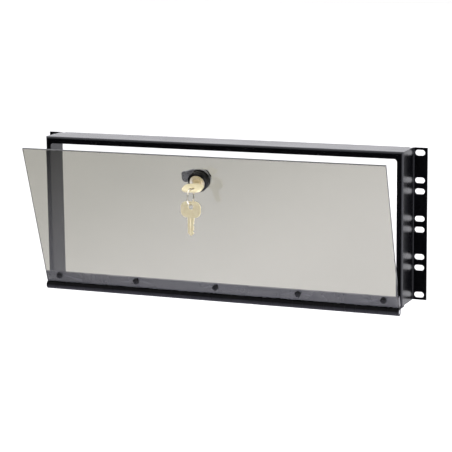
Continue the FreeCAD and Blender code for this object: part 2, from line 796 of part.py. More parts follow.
# Sprung plates across the plug, each with a window that ends at the floor of its cut in the key's -X edge
def make_lock_wafers():
    height = s.wafer_height.number
    width = s.wafer_sheet.number
    reach = (s.plug / 2 - s.plug_clearance).number
    window_height = (s.key_sheet + s.keyway_clearance * 2).number
    right = (s.key_blade / 2 + s.keyway_clearance).number
    wafers = []
    for middle, depth in key_cuts:
        start = (plug_front - middle).number - width / 2
        plate = Part.makeBox(reach * 2, width, height, Vector(-reach, start, -height / 2))
        round_ends = Part.makeCylinder(reach, width, Vector(0, start, 0), Vector(0, 1, 0))
        left = depth.number - right
        corner = Vector(left, start, -window_height / 2)
        window = Part.makeBox(right - left, width, window_height, corner)
        wafers.append(plate.common(round_ends).cut(window))
    row = doc.addObject("Part::Feature", "lock_wafers")
    row.Label = "lock_wafers"
    row.Shape = Part.makeCompound(wafers)
    row.Placement = lock_place
    return row


# Flat disc on the tang. The lug on the barrel's end stands in a gap in its rim and stops the turn.
def make_stop_washer():
    rim = doc.addObject("Part::Cylinder", "stop_rim")
    bind(rim, "Radius", barrel / 2 - s.stop_washer_inset)
    bind(rim, "Height", s.stop_washer_height)
    lug_inside = plug_bore + s.stop_clearance
    lug_side = s.stop_lug_width / 2 + s.stop_clearance
    half_lug = math.degrees(math.atan2(lug_side.number, lug_inside.number))
    rim.Angle = 360.0 - s.lock_turn.number - 2 * half_lug
    rim.Placement = Placement(Vector(), Rotation(Vector(0, 0, 1), half_lug))
    hub = doc.addObject("Part::Cylinder", "stop_hub_disc")
    bind(hub, "Radius", s.plug / 2 - s.stop_hub_inset)
    bind(hub, "Height", s.stop_washer_height)
    disc = doc.addObject("Part::Fuse", "stop_disc")
    disc.Base = rim
    disc.Tool = hub
    hole = doc.addObject("Part::Box", "stop_hole")
    across = tang_across + s.tang_clearance * 2
    bind(hole, "Length", across)
    bind(hole, "Width", across)
    bind(hole, "Height", s.stop_washer_height)
    half = across.number / 2
    hole.Placement = Placement(Vector(-half, -half, 0), Rotation())
    washer = doc.addObject("Part::Cut", "stop_washer")
    washer.Label = "stop_washer"
    washer.Base = disc
    washer.Tool = hole
    seat = Vector(0, stop_start.number, 0)
    washer.Placement = lock_place * Placement(seat, Rotation(Vector(1, 0, 0), -90))
    doc.recompute()
    return washer


# Cranked cam: a flat at the plug, a slope towards the panel and a tip that hooks behind the lip.
# It points to -X while unlocked.
def make_lock_cam():
    body = new_body("lock_cam", lock_place)
    half = s.cam_width / 2
    tip_end = tip_start + s.cam_sheet
    slope_end = cam_reach - s.cam_tip
    slope_start = slope_end - s.cam_joggle
    rise = cam_start - tip_start
    slope_length = (s.cam_joggle * s.cam_joggle + rise * rise).root()
    shift = s.cam_sheet * (slope_length - s.cam_joggle) / rise
    sketch = new_sketch(body, "cam_section", "XY_Plane", -half)
    rear = [(half, cam_end), (-slope_start, cam_end), (-slope_end, tip_end), (-cam_reach, tip_end)]
    front = [(-cam_reach, tip_start), (shift - slope_end, tip_start), (shift - slope_start, cam_start)]
    outline(sketch, [(half, cam_start)] + rear + front)
    strip = pad(body, "cam_strip", sketch, s.cam_width)

    def is_end_corner(edge):
        middle = edge.CenterOfMass
        at_end = near(middle.x, half.number) or near(middle.x, -cam_reach.number)
        return runs_along(edge, "y") and at_end

    fillet(body, "cam_ends", strip, edges_where(strip.Shape, is_end_corner), s.cam_corner)
    sketch = new_sketch(body, "cam_hole_outline", "XZ_Plane", -cam_start)
    hole = tang_across / 2 + s.tang_clearance
    rectangle(sketch, -hole, -hole, hole, hole)
    pocket(body, "cam_hole", sketch, s.cam_sheet, False)
    return body


def make_cam_washer():
    inner = s.cam_screw / 2 + s.hole_clearance
    outer = s.cam_washer / 2
    end = cam_end + s.cam_washer_height
    corners = [(inner, cam_end), (outer, cam_end), (outer, end), (inner, end)]
    return make_turned("cam_washer", corners, lock_place)


def make_cam_screw():
    shank = s.cam_screw / 2
    head = s.cam_screw_head / 2
    seat = cam_end + s.cam_washer_height
    end = seat + s.cam_screw_head_height
    start = cam_end - s.cam_screw_depth
    corners = [(0.0, start), (shank, start), (shank, seat), (head, seat), (head, end), (0.0, end)]
    body = make_turned("cam_screw", corners, lock_place)
    round_rim(body, end, s.cam_screw_head_round)
    arm = head - s.cam_screw_recess_rim
    cross_recess(body, end, arm, s.cam_screw_recess_width, s.cam_screw_recess_depth, True)
    return body


# A flat key: y runs from the blade's tip below to the bow above, with 0 at the shoulder
def make_key(name, place):
    body = new_body(name, place)
    sketch = new_sketch(body, name + "_outline", "XY_Plane", -s.key_sheet / 2)
    blade = s.key_blade / 2
    tip = -s.key_blade_length
    shoulder = tip + s.key_point
    corners = [(-blade, s.key_neck), (-blade, shoulder), (0.0, tip), (blade, shoulder)]
    for middle, depth in key_cuts:
        floor = blade - depth
        half = s.key_cut_floor / 2
        corners += [(floor, middle - half), (floor, middle + half), (blade, middle + cut_pitch / 2)]
    corners += [(blade, s.key_neck)]
    outline(sketch, corners)
    pad(body, name + "_blade", sketch, s.key_sheet)

    sketch = new_sketch(body, name + "_bow_outline", "XY_Plane", -s.key_sheet / 2)
    half = s.key_bow_width / 2
    end = s.key_neck + s.key_bow_length
    rectangle(sketch, -half, s.key_neck, half, end)
    bow = pad(body, name + "_bow", sketch, s.key_sheet)

    def is_bow_corner(edge):
        return runs_along(edge, "z") and near(abs(edge.CenterOfMass.x), half.number)

    corner = s.key_bow_corner.at_most(half - blade - s.key_bow_land, s.key_bow_length / 2 - s.key_bow_land)
    fillet(body, name + "_bow_corners", bow, edges_where(bow.Shape, is_bow_corner), corner)
    sketch = new_sketch(body, name + "_hole_outline", "XY_Plane", -s.key_sheet / 2)
    circle(sketch, 0.0, end - s.key_web - s.key_hole / 2, s.key_hole)
    pocket(body, name + "_hole", sketch, s.key_sheet, True)
    return body


# The key stands in the plug with its bow level, and points straight out of the panel.
key_place = lock_place * Placement(Vector(0, plug_front.number, 0), Rotation(Vector(0, 0, 1), 180))

# The ring hangs upright from the inner upper corner of the key's end web, and the spare key from the ring.
key_hole_place = (s.key_neck + s.key_bow_length - s.key_web - s.key_hole / 2).number
web_inside = Vector(0, key_hole_place + s.key_hole.number / 2, s.key_sheet.number / 2)
web_corner = key_place.multVec(web_inside)
ring_drop = (ring_radius - s.ring_wire / 2 - s.ring_gap).number
ring_middle = web_corner - Vector(0, 0, ring_drop)
spare_hole = ring_middle - Vector(0, 0, ring_drop + s.key_hole.number / 2)
spare_place = Placement(spare_hole - Vector(0, 0, key_hole_place), Rotation(Vector(1, 0, 0), 90))


def make_key_ring():
    ring = doc.addObject("Part::Torus", "key_ring")
    ring.Label = "key_ring"
    bind(ring, "Radius1", ring_radius)
    bind(ring, "Radius2", s.ring_wire / 2)
    ring.Placement = Placement(ring_middle, Rotation(Vector(0, 1, 0), 90))
    return ring


moving_leaf_turn = Rotation(Vector(0, 0, 1), 180) * Rotation(Vector(1, 0, 0), 90)
moving_leaf_place = cover_place * Placement(Vector(), moving_leaf_turn)
pieces = [
    make_frame(),
    make_leaf("hinge_fixed_leaf", hinge_place, s.rivet_reach, rivet_hole, 1),
    make_hinge_pin(),
    make_rivets(),
    make_leaf("hinge_moving_leaf", moving_leaf_place, s.screw_reach, screw_hole, 0),
    make_panel(),
    *make_screws(),
    make_lock_body(),
    make_lock_washer(),
    make_lock_nut(),
    make_lock_plug(),
    make_lock_wafers(),
    make_stop_washer(),
    make_lock_cam(),
    make_cam_washer(),
    make_cam_screw(),
    make_key("lock_key", key_place),
    make_key_ring(),
    make_key("spare_key", spare_place),
]
doc.recompute()

for item in doc.Objects:
    if {"Invalid", "Error"} & set(item.State):
        raise RuntimeError(f"{item.Label}: {item.State}")
for piece in pieces:
    if piece.Shape.isNull() or not piece.Shape.isValid():
        raise RuntimeError(f"{piece.Label}: the solid is not sound")

os.makedirs("parts", exist_ok=True)
for piece in pieces:
    piece.Shape.exportStep(f"parts/{piece.Label}.step")
    box = piece.Shape.BoundBox
    print(
        f"{piece.Label}: {len(piece.Shape.Solids)} solids, {piece.Shape.Volume:.1f} mm3,"
        f" x {box.XMin:.2f}..{box.XMax:.2f} y {box.YMin:.2f}..{box.YMax:.2f} z {box.ZMin:.2f}..{box.ZMax:.2f}"
    )
print("hinge axis", hinge_place.Base)
print("lock axis", lock_place.Base)
print("ring middle", ring_middle)
print("spare key hole", spare_hole)
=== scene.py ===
import bmesh
import bpy
import json
import math
import numpy as np
from mathutils import Matrix, Vector


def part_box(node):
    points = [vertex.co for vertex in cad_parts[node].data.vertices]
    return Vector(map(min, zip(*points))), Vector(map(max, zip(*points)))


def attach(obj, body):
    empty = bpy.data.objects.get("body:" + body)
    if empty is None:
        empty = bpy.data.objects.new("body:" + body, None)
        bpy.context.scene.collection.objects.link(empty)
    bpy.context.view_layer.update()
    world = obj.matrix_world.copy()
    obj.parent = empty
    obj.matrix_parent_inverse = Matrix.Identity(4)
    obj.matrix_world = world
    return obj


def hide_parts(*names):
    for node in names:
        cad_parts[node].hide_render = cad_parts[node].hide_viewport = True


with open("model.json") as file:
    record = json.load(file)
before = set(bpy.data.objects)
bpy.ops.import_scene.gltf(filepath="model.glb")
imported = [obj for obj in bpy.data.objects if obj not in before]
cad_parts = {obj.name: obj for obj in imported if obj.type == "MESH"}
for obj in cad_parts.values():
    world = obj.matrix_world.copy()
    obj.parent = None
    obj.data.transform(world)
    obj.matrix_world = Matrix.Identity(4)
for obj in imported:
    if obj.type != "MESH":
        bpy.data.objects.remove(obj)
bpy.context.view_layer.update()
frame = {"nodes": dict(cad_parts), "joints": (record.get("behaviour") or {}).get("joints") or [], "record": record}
scene = bpy.context.scene
nodes = frame["nodes"]
record = frame["record"]
bodyOf = {node: body for body, members in record["behaviour"]["bodies"].items() for node in members}
slotOf = {part["node"]: part["material_slot"] for part in record["subparts"]}

# joints give the cover's lean and the lock's axis, so nothing is measured twice
joints = {joint["name"]: joint for joint in frame["joints"]}
hingePoint = Vector(joints["panel_hinge"]["pos_m"])
lockPoint = Vector(joints["lock_turn"]["pos_m"])
lockAxis = Vector(joints["lock_turn"]["axis"]).normalized()
acrossAxis = Vector((1.0, 0.0, 0.0))
upPanel = acrossAxis.cross(lockAxis).normalized()


# node helpers: a socket takes another node's output, a colour without its alpha, or a plain value
def feed(tree, value, socket):
    if isinstance(value, bpy.types.NodeSocket):
        tree.links.new(value, socket)
    elif socket.type == "RGBA":
        socket.default_value = (*value, 1.0)
    else:
        socket.default_value = value


def feedAll(tree, values, node):
    for label, value in values.items():
        feed(tree, value, node.inputs[label])
    return node


def addNode(tree, kind, values):
    return feedAll(tree, values, tree.nodes.new(kind))


def sumNode(tree, kind, operation, values):
    node = tree.nodes.new(kind)
    node.operation = operation
    for value, socket in zip(values, node.inputs):
        feed(tree, value, socket)
    return node


def mathNode(tree, operation, *values):
    return sumNode(tree, "ShaderNodeMath", operation, values).outputs["Value"]


def vectorNode(tree, operation, *values):
    node = sumNode(tree, "ShaderNodeVectorMath", operation, values)
    return node.outputs["Value" if operation in ("DOT_PRODUCT", "LENGTH") else "Vector"]


# 0 below the low limit and 1 above the high one, eased at both ends
def stepNode(tree, value, low, high):
    node = addNode(tree, "ShaderNodeMapRange", {"Value": value, "From Min": low, "From Max": high})
    node.interpolation_type = "SMOOTHSTEP"
    return node.outputs["Result"]


# a share from 0 to 1 spread evenly between two values
def spanNode(tree, share, low, high):
    node = addNode(tree, "ShaderNodeMapRange", {"Value": share, "To Min": low, "To Max": high})
    return node.outputs["Result"]


def mixColour(tree, share, first, second):
    node = tree.nodes.new("ShaderNodeMix")
    node.data_type = "RGBA"
    feedAll(tree, {"Factor": share, "A": first, "B": second}, node)
    return next(socket for socket in node.outputs if socket.type == "RGBA")


def noiseNode(tree, place, scale, detail, grain=0.5):
    values = {"Vector": place, "Scale": scale, "Detail": detail, "Roughness": grain}
    return addNode(tree, "ShaderNodeTexNoise", values).outputs["Fac"]


def objectPlace(tree):
    return tree.nodes.new("ShaderNodeTexCoord").outputs["Object"]


# shared effects, each built once as a node group that gives colour, roughness and the height of the relief
socketKinds = {float: "NodeSocketFloat", tuple: "NodeSocketColor", Vector: "NodeSocketVector"}


def newGroup(name, inputs):
    group = bpy.data.node_groups.new(name, "ShaderNodeTree")
    for label, value in inputs.items():
        socket = group.interface.new_socket(label, in_out="INPUT", socket_type=socketKinds[type(value)])
        socket.default_value = (*value, 1.0) if isinstance(value, tuple) else value
    for label, kind in (("Color", tuple), ("Roughness", float), ("Height", float)):
        group.interface.new_socket(label, in_out="OUTPUT", socket_type=socketKinds[kind])
    return group, group.nodes.new("NodeGroupInput").outputs, group.nodes.new("NodeGroupOutput")


# sprayed coat: a fine orange peel for the bump, and slow patches that shift gloss and shade
spraySet = {
    "inputs": {
        "Peel Scale": 900.0,
        "Patch Scale": 14.0,
        "Shade Low": (0.003, 0.003, 0.004),
        "Shade High": (0.006, 0.006, 0.007),
        "Gloss Low": 0.18,
        "Gloss High": 0.26,
    },
    "peelDetail": 2.0,
    "patchDetail": 3.0,
    "patchGrain": 0.6,
    "patchSpan": (0.32, 0.68),
}


def makeSprayedCoat():
    group, given, end = newGroup("sprayedCoat", spraySet["inputs"])
    place = objectPlace(group)
    peel = noiseNode(group, place, given["Peel Scale"], spraySet["peelDetail"])
    patch = noiseNode(group, place, given["Patch Scale"], spraySet["patchDetail"], spraySet["patchGrain"])
    spread = stepNode(group, patch, *spraySet["patchSpan"])
    shade = mixColour(group, spread, given["Shade Low"], given["Shade High"])
    gloss = spanNode(group, spread, given["Gloss Low"], given["Gloss High"])
    feedAll(group, {"Color": shade, "Roughness": gloss, "Height": peel}, end)
    return group


# worked metal: fine lines along one axis, made by stretching a noise, over a slow tarnish
workSet = {
    "inputs": {
        "Stretch": Vector((2000.0, 2000.0, 60.0)),
        "Tarnish Scale": 220.0,
        "Bright": (0.6, 0.6, 0.62),
        "Dull": (0.45, 0.45, 0.48),
        "Gloss Low": 0.2,
        "Gloss High": 0.4,
    },
    "lineDetail": 3.0,
    "lineGrain": 0.6,
    "lineShare": 0.6,
    "tarnishDetail": 4.0,
    "tarnishGrain": 0.65,
    "tarnishShare": 0.4,
    "tarnishSpan": (0.3, 0.72),
}


def makeWorkedMetal():
    work = workSet
    group, given, end = newGroup("workedMetal", work["inputs"])
    place = objectPlace(group)
    stretched = vectorNode(group, "MULTIPLY", place, given["Stretch"])
    lines = noiseNode(group, stretched, 1.0, work["lineDetail"], work["lineGrain"])
    tarnish = noiseNode(group, place, given["Tarnish Scale"], work["tarnishDetail"], work["tarnishGrain"])
    spread = stepNode(group, tarnish, *work["tarnishSpan"])
    shade = mixColour(group, spread, given["Bright"], given["Dull"])
    lined = mathNode(group, "MULTIPLY", lines, work["lineShare"])
    tarnished = mathNode(group, "MULTIPLY", spread, work["tarnishShare"])
    worn = mathNode(group, "ADD", lined, tarnished)
    gloss = spanNode(group, worn, given["Gloss Low"], given["Gloss High"])
    feedAll(group, {"Color": shade, "Roughness": gloss, "Height": lines}, end)
    return group


sprayedCoat = makeSprayedCoat()
workedMetal = makeWorkedMetal()
print("shared effects made")


# a shared effect placed in a material with its own values
def effectNode(tree, effect, values):
    group = tree.nodes.new("ShaderNodeGroup")
    group.node_tree = effect
    return feedAll(tree, values, group).outputs


# what is the same all over a surface is set on the shader itself
def newMaterial(name, shader):
    material = bpy.data.materials.new(name)
    material.use_nodes = True
    tree = material.node_tree
    principled = feedAll(tree, shader, tree.nodes["Principled BSDF"])
    return material, tree, principled


def addRelief(tree, principled, height, bump):
    relief = addNode(tree, "ShaderNodeBump", {"Height": height, **bump})
    feed(tree, relief.outputs["Normal"], principled.inputs["Normal"])


# a material whose colour, gloss and bump come from one shared effect
def newFinish(name, effect, values, bump, shader):
    material, tree, principled = newMaterial(name, shader)
    coat = effectNode(tree, effect, values)
    feedAll(tree, {"Base Color": coat["Color"], "Roughness": coat["Roughness"]}, principled)
    addRelief(tree, principled, coat["Height"], bump)
    return material


# two finishes on one piece: share is 0 on the painted part and 1 on the bare metal
def blendCoats(tree, principled, share, paint, paintColour, metal):
    colour = mixColour(tree, share, paintColour, metal["Color"])
    gloss = spanNode(tree, share, paint["Roughness"], metal["Roughness"])
    feedAll(tree, {"Base Color": colour, "Metallic": share, "Roughness": gloss}, principled)


# how far a point of the surface lies along one direction from a place on the part
def placeAlong(tree, origin, direction):
    away = vectorNode(tree, "SUBTRACT", objectPlace(tree), origin)
    return vectorNode(tree, "DOT_PRODUCT", away, direction)


# how far it lies from an axis through that place: the length of its cross product with the axis
def placeAround(tree, origin, axis):
    away = vectorNode(tree, "SUBTRACT", objectPlace(tree), origin)
    return vectorNode(tree, "LENGTH", vectorNode(tree, "CROSS_PRODUCT", away, axis))


# smoked clear sheet: light passes the two large faces, and the sawn edges drink it up
acrylicSet = {
    "faceTint": (0.364, 0.356, 0.311),
    "hazeTint": (0.35, 0.343, 0.3),
    "edgeTint": (0.012, 0.013, 0.013),
    "edgeTurn": 0.9,
    "hazeScale": 7.0,
    "hazeSpan": (0.3, 0.7),
    "rubScale": (40.0, 40.0, 1500.0),
    "rubSpan": (0.55, 0.8),
    "detail": 2.0,
    "gloss": (0.0, 0.05),
    "shader": {"Transmission Weight": 1.0, "IOR": 1.49},
}


def makeAcrylic():
    sheet = acrylicSet
    material, tree, principled = newMaterial("smokedAcrylic", sheet["shader"])
    coords = tree.nodes.new("ShaderNodeTexCoord").outputs
    haze = noiseNode(tree, coords["Object"], sheet["hazeScale"], sheet["detail"])
    cloud = stepNode(tree, haze, *sheet["hazeSpan"])
    face = mixColour(tree, cloud, sheet["faceTint"], sheet["hazeTint"])
    # edge faces stand square to the sheet, so their normal has little of the sheet's own direction
    along = vectorNode(tree, "DOT_PRODUCT", coords["Normal"], lockAxis)
    square = mathNode(tree, "LESS_THAN", mathNode(tree, "ABSOLUTE", along), sheet["edgeTurn"])
    tint = mixColour(tree, square, face, sheet["edgeTint"])
    # faint wiping marks in the polish
    rubbed = vectorNode(tree, "MULTIPLY", coords["Object"], sheet["rubScale"])
    marks = stepNode(tree, noiseNode(tree, rubbed, 1.0, sheet["detail"]), *sheet["rubSpan"])
    feedAll(tree, {"Base Color": tint, "Roughness": spanNode(tree, marks, *sheet["gloss"])}, principled)
    return material


# piano hinge: black paint on the knuckles with a painted shade along their top under the sheet's edge, blued steel
# where the moving leaf lies flat behind the sheet
hingeSet = {
    "flatSpan": (0.0049, 0.0055),
    # painted shade: the band above the pin, and the near black colour put there for the shade under the sheet's
    # edge
    "paintedShadeSpan": (0.0014, 0.0028),
    "paintedShadeColour": (0.003, 0.003, 0.004),
    "roll": {
        "Shade Low": (0.022, 0.022, 0.027), "Shade High": (0.031, 0.031, 0.038),
        "Gloss Low": 0.48, "Gloss High": 0.55, "Peel Scale": 1100.0, "Patch Scale": 30.0,
    },
    "flat": {
        "Shade Low": (0.185, 0.185, 0.213), "Shade High": (0.216, 0.215, 0.243),
        "Gloss Low": 0.26, "Gloss High": 0.34, "Peel Scale": 1100.0, "Patch Scale": 30.0,
    },
    "bump": {"Strength": 0.02, "Distance": 0.0001},
    "shader": {"IOR": 1.5, "Specular IOR Level": 0.1},
}


def makeHingePaint():
    hinge = hingeSet
    material, tree, principled = newMaterial("hingePaint", hinge["shader"])
    roll = effectNode(tree, sprayedCoat, hinge["roll"])
    flat = effectNode(tree, sprayedCoat, hinge["flat"])
    # height above the pin along the leaf tells the flat from the roll
    height = placeAlong(tree, hingePoint, upPanel)
    share = stepNode(tree, height, *hinge["flatSpan"])
    # painted shade: the roll is coloured near black just under the sheet's edge, where shade falls, and dark grey
    # below
    paintedShadeShare = stepNode(tree, height, *hinge["paintedShadeSpan"])
    rollWithPaintedShade = mixColour(tree, paintedShadeShare, roll["Color"], hinge["paintedShadeColour"])
    blendCoats(tree, principled, share, roll, rollWithPaintedShade, flat)
    addRelief(tree, principled, roll["Height"], hinge["bump"])
    return material


# lock body: black coated outside, with a plated face round the plug inside a fine groove
lockCoatSet = {
    "faceEdge": (0.00915, 0.00925),
    "faceDepth": (-0.0076, -0.0074),
    "paint": {
        "Shade Low": (0.0028, 0.0028, 0.003), "Shade High": (0.005, 0.005, 0.0055),
        "Gloss Low": 0.2, "Gloss High": 0.28, "Peel Scale": 1800.0, "Patch Scale": 120.0,
    },
    "face": {
        "Bright": (0.88, 0.83, 0.7), "Dull": (0.78, 0.72, 0.58),
        "Gloss Low": 0.4, "Gloss High": 0.55, "Stretch": (1200.0, 1200.0, 1200.0), "Tarnish Scale": 300.0,
    },
    "bump": {"Strength": 0.04, "Distance": 0.00005},
    "shader": {"IOR": 1.5, "Specular IOR Level": 0.16},
}


def makeLockCoat():
    coat = lockCoatSet
    material, tree, principled = newMaterial("lockBlack", coat["shader"])
    paint = effectNode(tree, sprayedCoat, coat["paint"])
    face = effectNode(tree, workedMetal, coat["face"])
    outside = stepNode(tree, placeAround(tree, lockPoint, lockAxis), *coat["faceEdge"])
    behind = stepNode(tree, placeAlong(tree, lockPoint, lockAxis), *coat["faceDepth"])
    share = mathNode(tree, "SUBTRACT", 1.0, mathNode(tree, "MAXIMUM", outside, behind))
    blendCoats(tree, principled, share, paint, paint["Color"], face)
    addRelief(tree, principled, paint["Height"], coat["bump"])
    return material


# black coats that are alike all over a piece
paintSet = {
    "frame_paint": {
        "name": "satinBlackPaint",
        "values": {
            "Shade Low": (0.0018, 0.0018, 0.0026), "Shade High": (0.003, 0.003, 0.004),
            "Gloss Low": 0.24, "Gloss High": 0.28,
        },
        "bump": {"Strength": 0.025, "Distance": 0.0001},
        "shader": {"IOR": 1.5, "Specular IOR Level": 0.3, "Specular Tint": (0.9, 0.915, 1.0)},
    },
    "screw_black": {
        "name": "blackOxide",
        "values": {
            "Shade Low": (0.004, 0.004, 0.005), "Shade High": (0.009, 0.009, 0.011),
            "Gloss Low": 0.3, "Gloss High": 0.42, "Peel Scale": 2500.0, "Patch Scale": 300.0,
        },
        "bump": {"Strength": 0.05, "Distance": 0.00004},
        "shader": {"IOR": 1.5, "Specular IOR Level": 0.3},
    },
}

# bare and plated metals: how far the noise is stretched into lines, colours where bright and dull, and gloss
lineBump = {"Strength": 0.08, "Distance": 0.00003}
metalSet = {
    "hinge_pin_steel": {
        "name": "pinSteel",
        "values": {"Stretch": (60.0, 2500.0, 2500.0)},
        "metallic": 1.0,
    },
    "rivet_steel": {
        "name": "rivetSteel",
        "values": {
            "Stretch": (900.0, 900.0, 900.0), "Bright": (0.42, 0.42, 0.43), "Dull": (0.3, 0.3, 0.31),
        },
        "metallic": 1.0,
    },
    "nut_zinc": {
        "name": "nutZinc",
        "values": {
            "Stretch": (1500.0, 1500.0, 1500.0), "Bright": (0.62, 0.63, 0.66), "Dull": (0.5, 0.51, 0.56),
        },
        "metallic": 1.0,
    },
    "lock_zinc": {
        "name": "lockZinc",
        "values": {
            "Stretch": (1200.0, 1200.0, 1200.0), "Bright": (0.56, 0.57, 0.6), "Dull": (0.42, 0.43, 0.48),
        },
        "metallic": 1.0,
    },
    "plug_nickel": {
        "name": "plugNickel",
        "values": {
            "Stretch": (1800.0, 300.0, 1800.0), "Bright": (0.74, 0.65, 0.48), "Dull": (0.62, 0.53, 0.37),
            "Gloss Low": 0.36, "Gloss High": 0.5,
        },
        "metallic": 0.75,
    },
    "wafer_brass": {
        "name": "waferBrass",
        "values": {
            "Stretch": (1800.0, 1800.0, 200.0), "Bright": (0.7, 0.54, 0.24), "Dull": (0.5, 0.38, 0.16),
        },
        "metallic": 1.0,
    },
    "cam_zinc": {
        "name": "camZinc",
        "values": {
            "Stretch": (120.0, 1600.0, 1600.0), "Bright": (0.43, 0.45, 0.51), "Dull": (0.31, 0.33, 0.4),
        },
        "metallic": 1.0,
    },
    "key_brass": {
        "name": "keyBrass",
        "values": {
            "Stretch": (1500.0, 120.0, 120.0), "Bright": (0.95, 0.86, 0.6), "Dull": (0.87, 0.77, 0.5),
            "Gloss Low": 0.46, "Gloss High": 0.6,
        },
        "metallic": 0.45,
    },
    "ring_steel": {
        "name": "ringSteel",
        "values": {
            "Stretch": (900.0, 900.0, 900.0), "Bright": (0.78, 0.75, 0.66), "Dull": (0.62, 0.59, 0.5),
            "Gloss Low": 0.12, "Gloss High": 0.24,
        },
        "metallic": 1.0,
    },
}

finishes = {
    "smoked_acrylic": makeAcrylic(),
    "hinge_paint": makeHingePaint(),
    "lock_black": makeLockCoat(),
}
for slot, paint in paintSet.items():
    finishes[slot] = newFinish(paint["name"], sprayedCoat, paint["values"], paint["bump"], paint["shader"])
for slot, metal in metalSet.items():
    shader = {"Metallic": metal["metallic"]}
    finishes[slot] = newFinish(metal["name"], workedMetal, metal["values"], lineBump, shader)
for node, slot in slotOf.items():
    materials = nodes[node].data.materials
    materials.clear()
    materials.append(finishes[slot])
print("finishes made:", len(finishes))

# new pieces: grids of points worked out as whole arrays, in millimetres in the piece's own frame
millimetre = 0.001
tiny = 1e-6  # keeps a divisor off zero
meshSet = {"weld": 1e-6, "sliver": 1e-7}  # metres
panelFrame = np.array([acrossAxis, lockAxis, upPanel])
lockOrigin = np.array(lockPoint)


# rows by columns of points become quads; a closed way joins its last line to its first
def gridFaces(rows, columns, closedRows, closedColumns):
    row = np.arange(rows if closedRows else rows - 1)[:, None]
    column = np.arange(columns if closedColumns else columns - 1)[None, :]
    nextRow = (row + 1) % rows
    nextColumn = (column + 1) % columns
    walk = ((row, column), (row, nextColumn), (nextRow, nextColumn), (nextRow, column))
    return np.stack([down * columns + along for down, along in walk], axis=-1).reshape(-1, 4)


# several grids make one piece; doubles at poles and seams are merged, and faces turned outwards
def addPiece(name, node, grids, origin, axes, sharpAngle):
    points, faces, count = [], [], 0
    for grid, closedRows, closedColumns in grids:
        rows, columns = grid.shape[:2]
        faces.append(gridFaces(rows, columns, closedRows, closedColumns) + count)
        points.append(grid.reshape(-1, 3))
        count += rows * columns
    placed = np.concatenate(points) * millimetre @ axes + origin
    mesh = bpy.data.meshes.new(name)
    mesh.from_pydata(placed.tolist(), [], np.concatenate(faces).tolist())
    shell = bmesh.new()
    shell.from_mesh(mesh)
    bmesh.ops.remove_doubles(shell, verts=shell.verts, dist=meshSet["weld"])
    bmesh.ops.dissolve_degenerate(shell, edges=shell.edges, dist=meshSet["sliver"])
    bmesh.ops.recalc_face_normals(shell, faces=shell.faces)
    shell.to_mesh(mesh)
    shell.free()
    mesh.shade_smooth()
    mesh.set_sharp_from_angle(angle=math.radians(sharpAngle))
    mesh.materials.append(finishes[slotOf[node]])
    piece = bpy.data.objects.new(name, mesh)
    scene.collection.objects.link(piece)
    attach(piece, bodyOf[node])
    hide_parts(node)
    print("piece made:", name, len(mesh.polygons), "faces")


# a run of straight lines whose corners are cut by arcs: an arc's middle lies on the corner's bisector,
# and its points are even steps of its chord, pushed out to the radius
def roundedRun(corners, radii, steps=6):
    corners = np.array(corners, float)
    share = np.linspace(0, 1, steps + 1)[:, None]
    run = [corners[:1]]
    for before, corner, after, radius in zip(corners, corners[1:], corners[2:], radii):
        back = (before - corner) / np.linalg.norm(before - corner)
        ahead = (after - corner) / np.linalg.norm(after - corner)
        half = math.acos(np.clip(back @ ahead, -1, 1)) / 2
        middle = corner + (back + ahead) / np.linalg.norm(back + ahead) * radius / math.sin(half)
        start = corner + back * radius / math.tan(half)
        end = corner + ahead * radius / math.tan(half)
        chord = start + (end - start) * share - middle
        run.append(middle + chord / np.linalg.norm(chord, axis=1, keepdims=True) * radius)
    run.append(corners[-1:])
    return np.concatenate(run)


# share of the way from low to high, eased: three squares of it less two cubes
def easeStep(value, low, high):
    share = np.clip((value - low) / (high - low), 0, 1)
    return share * share * (3 - 2 * share)


# a squared circle: cosine and sine raised to a small power keep flat sides and round corners
def squaredCircle(around, power):
    return [np.sign(wave) * np.abs(wave) ** power for wave in (np.cos(around), np.sin(around))]


# lock body: a section turned about the lock axis, with a thread on the barrel and a lug on its end
lockSet = {
    "bore": 6.05, "boreRim": 1.0, "boreRound": 0.18,
    "face": 9.2, "faceGroove": 0.35, "grooveRound": 0.06,
    "bezel": 12.0, "bezelHeight": 8.0, "bezelChamfer": 1.6, "bezelRound": 0.6, "seatRound": 0.3,
    "barrel": 9.5, "barrelFlat": 8.0, "barrelLength": 12.7, "endChamfer": 0.9,
    "threadPitch": 1.2, "threadDepth": 0.62, "threadStart": 0.5, "threadSlope": 1.5, "threadCrest": 0.25,
    "waferReach": 6.85, "waferRise": 2.9, "waferStart": -7.05, "waferStep": 0.01,
    "lugInner": 6.2, "lugOuter": 9.35, "lugHalf": 1.5, "lugHeight": 1.2,
    "lugSunk": 0.5, "lugEdge": 0.2, "lugTop": 0.88, "lugSquare": 0.22,
    "turns": 180, "threadRows": 150, "lugColumns": 48, "sharpAngle": 50.0,
}


